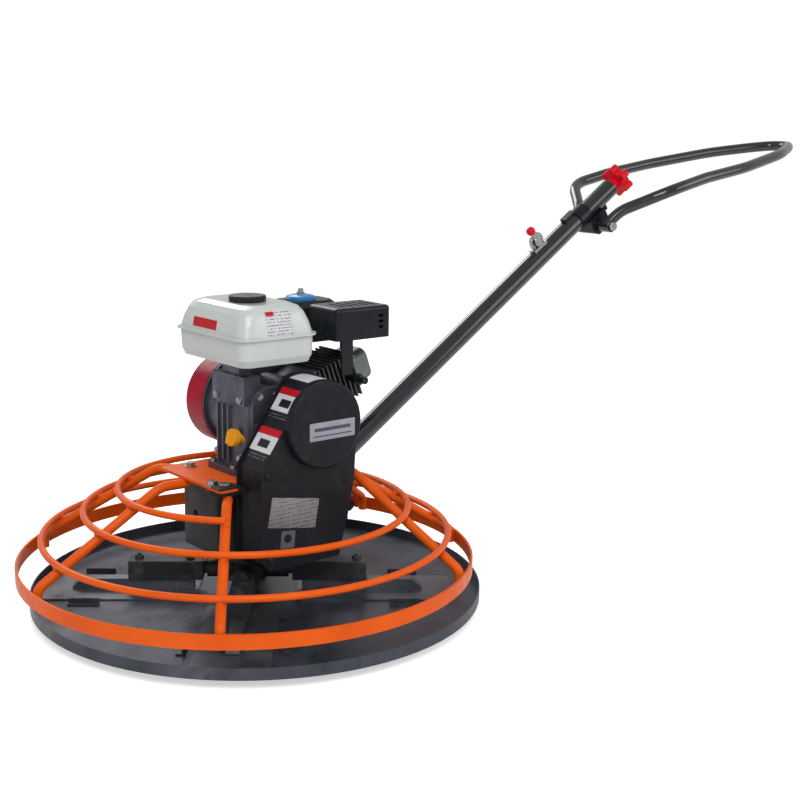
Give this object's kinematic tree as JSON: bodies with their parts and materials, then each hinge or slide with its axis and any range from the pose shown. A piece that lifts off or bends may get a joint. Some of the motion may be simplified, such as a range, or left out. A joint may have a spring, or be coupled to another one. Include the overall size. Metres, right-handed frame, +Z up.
{
  "type": "power trowel",
  "caption": "Walk-behind power trowel: float pan and pitched blades under a ring guard, belt-driven by a small engine, with a long handle and closed grip loop.",
  "frame": {"origin": "on the floor, at the underside of the float pan, under the axis of the rotor shaft", "axes": "+X towards the operator's handle, +Y to the operator's right (recoil starter side, the belt guard is on -Y), +Z up"},
  "size_m": [2.3289, 0.961, 0.953],
  "materials": {
    "orange_paint": "semi-gloss enamel, lightly scuffed",
    "black_paint": "gloss black enamel",
    "pan_steel": "dull mill-scale black steel",
    "gear_paint": "dark grey painted casting",
    "bright_steel": "zinc-plated, satin",
    "cast_aluminium": "as-cast, satin",
    "white_paint": "gloss off-white",
    "red_paint": "gloss red",
    "red_plastic": "gloss",
    "black_plastic": "fine-grained",
    "yellow_plastic": "satin",
    "belt_rubber": "matt"
  },
  "bodies": {
    "frame": {"gearbox_housing": "gear_paint", "gearbox_lid": "gear_paint", "gearbox_bearings": "bright_steel", "deck_plate": "orange_paint", "guard_band": "orange_paint", "guard_rings": "orange_paint", "guard_spokes": "orange_paint", "belt_guard_back": "black_paint", "belt_guard_cover": "black_paint", "belt_guard_cap": "black_paint", "drive_belt": "belt_rubber", "crankcase": "cast_aluminium", "crankcase_cover": "cast_aluminium", "finned_cylinder": "cast_aluminium", "head_cover": "black_paint", "spark_plug_boot": "black_plastic", "blower_housing": "cast_aluminium", "starter_cover": "red_paint", "fuel_tank": "white_paint", "muffler": "black_paint", "muffler_shield": "black_paint", "air_cleaner_case": "black_plastic", "air_cleaner_lid": "black_plastic", "carburettor": "cast_aluminium", "handle_pole": "black_paint", "pole_socket": "black_paint", "handle_bracket": "black_paint", "throttle_bracket": "bright_steel", "pitch_cable": "black_plastic", "throttle_cable": "black_plastic", "frame_fasteners": "bright_steel"},
    "rotor": {"rotor_shaft": "bright_steel", "worm_wheel": "bright_steel", "spider_hub": "black_paint"},
    "pan": {"float_pan": "pan_steel"},
    "blade_front_right": {"arm_front_right": "black_paint", "blade_front_right": "pan_steel"},
    "blade_front_left": {"arm_front_left": "black_paint", "blade_front_left": "pan_steel"},
    "blade_rear_left": {"arm_rear_left": "black_paint", "blade_rear_left": "pan_steel"},
    "blade_rear_right": {"arm_rear_right": "black_paint", "blade_rear_right": "pan_steel"},
    "press": {"pressure_plate": "black_paint"},
    "worm": {"worm_shaft": "bright_steel", "gearbox_pulley": "gear_paint"},
    "drum": {"clutch_drum": "gear_paint"},
    "crank": {"crankshaft": "bright_steel", "clutch_shoes": "gear_paint", "flywheel_fan": "cast_aluminium"},
    "yoke": {"pitch_yoke": "black_paint"},
    "knob": {"pitch_knob": "red_plastic"},
    "throttle": {"throttle_lever": "bright_steel", "throttle_ball": "red_plastic"},
    "grip_loop": {"handle_loop": "black_paint"},
    "starter": {"starter_grip": "black_plastic"},
    "tank_cap": {"fuel_cap": "black_plastic"},
    "dipstick": {"oil_dipstick": "yellow_plastic"},
    "choke": {"choke_lever": "black_plastic"},
    "cleaner_knob": {"air_cleaner_knob": "bright_steel"}
  },
  "joints": [
    {"name": "rotor_spin", "type": "hinge", "parent": "frame", "child": "rotor", "pos_m": [0, 0, 0.15], "axis": [0, 0, 1], "continuous": true},
    {"name": "pan_drop", "type": "slide", "parent": "rotor", "child": "pan", "axis": [0, 0, -1], "range_m": [0, 0.0196]},
    {"name": "blade_pitch_rear_right", "type": "hinge", "parent": "rotor", "child": "blade_rear_right", "pos_m": [0.06157, 0.0788, 0.051], "axis": [0.6157, 0.788, 0], "range_deg": [0, 15]},
    {"name": "blade_pitch_front_right", "type": "hinge", "parent": "rotor", "child": "blade_front_right", "pos_m": [-0.0788, 0.06157, 0.051], "axis": [-0.788, 0.6157, 0], "range_deg": [0, 15]},
    {"name": "blade_pitch_front_left", "type": "hinge", "parent": "rotor", "child": "blade_front_left", "pos_m": [-0.06157, -0.0788, 0.051], "axis": [-0.6157, -0.788, 0], "range_deg": [0, 15]},
    {"name": "blade_pitch_rear_left", "type": "hinge", "parent": "rotor", "child": "blade_rear_left", "pos_m": [0.0788, -0.06157, 0.051], "axis": [0.788, -0.6157, 0], "range_deg": [0, 15]},
    {"name": "pressure_plate_drop", "type": "slide", "parent": "rotor", "child": "press", "axis": [0, 0, -1], "range_m": [0, 0.0075]},
    {"name": "yoke_tilt", "type": "hinge", "parent": "frame", "child": "yoke", "pos_m": [0.109, 0, 0.132], "axis": [0, -1, 0], "range_deg": [0, 3.7]},
    {"name": "pitch_knob_turn", "type": "hinge", "parent": "frame", "child": "knob", "pos_m": [1.12367, 0, 0.84574], "axis": [0.8329, 0, 0.5534], "range_deg": [0, 720]},
    {"name": "worm_spin", "type": "hinge", "parent": "frame", "child": "worm", "pos_m": [0.06, 0, 0.19], "axis": [0, 1, 0], "continuous": true},
    {"name": "clutch_drum_spin", "type": "hinge", "parent": "frame", "child": "drum", "pos_m": [0.064, -0.122, 0.39], "axis": [0, 1, 0], "continuous": true},
    {"name": "engine_crank_spin", "type": "hinge", "parent": "frame", "child": "crank", "pos_m": [0.064, 0, 0.39], "axis": [0, 1, 0], "continuous": true},
    {"name": "throttle_turn", "type": "hinge", "parent": "frame", "child": "throttle", "pos_m": [0.84361, 0, 0.70889], "axis": [0, 1, 0], "range_deg": [-35, 35]},
    {"name": "handle_tilt", "type": "hinge", "parent": "frame", "child": "grip_loop", "pos_m": [1.04086, 0, 0.74269], "axis": [0, 1, 0], "range_deg": [-20, 20]},
    {"name": "starter_pull", "type": "slide", "parent": "frame", "child": "starter", "axis": [0.6, 0, 0.8], "range_m": [0, 0.45], "stiffness_N_per_m": 60, "springref_m": -0.1},
    {"name": "fuel_cap_turn", "type": "hinge", "parent": "frame", "child": "tank_cap", "pos_m": [-0.005, -0.015, 0.631], "axis": [0, 0, 1], "range_deg": [0, 90]},
    {"name": "dipstick_turn", "type": "hinge", "parent": "frame", "child": "dipstick", "pos_m": [-0.0585, -0.048, 0.3542], "axis": [-0.9724, 0, 0.2331], "range_deg": [0, 720]},
    {"name": "choke_turn", "type": "hinge", "parent": "frame", "child": "choke", "pos_m": [0.19, 0.11, 0.476], "axis": [0, 1, 0], "range_deg": [0, 35]},
    {"name": "cleaner_knob_turn", "type": "hinge", "parent": "frame", "child": "cleaner_knob", "pos_m": [0.185, 0.065, 0.61], "axis": [0, 0, 1], "range_deg": [0, 720]}
  ],
  "couplings": [
    {"joint": "blade_pitch_rear_right", "follows": "pan_drop", "rad_per_m": 13.333},
    {"joint": "blade_pitch_front_right", "follows": "pan_drop", "rad_per_m": 13.333},
    {"joint": "blade_pitch_front_left", "follows": "pan_drop", "rad_per_m": 13.333},
    {"joint": "blade_pitch_rear_left", "follows": "pan_drop", "rad_per_m": 13.333},
    {"joint": "pressure_plate_drop", "follows": "pan_drop", "ratio": 0.37333},
    {"joint": "yoke_tilt", "follows": "pan_drop", "rad_per_m": 3.2},
    {"joint": "pitch_knob_turn", "follows": "pan_drop", "rad_per_m": 640},
    {"joint": "worm_spin", "follows": "rotor_spin", "ratio": -24},
    {"joint": "clutch_drum_spin", "follows": "rotor_spin", "ratio": -31.551}
  ]
}
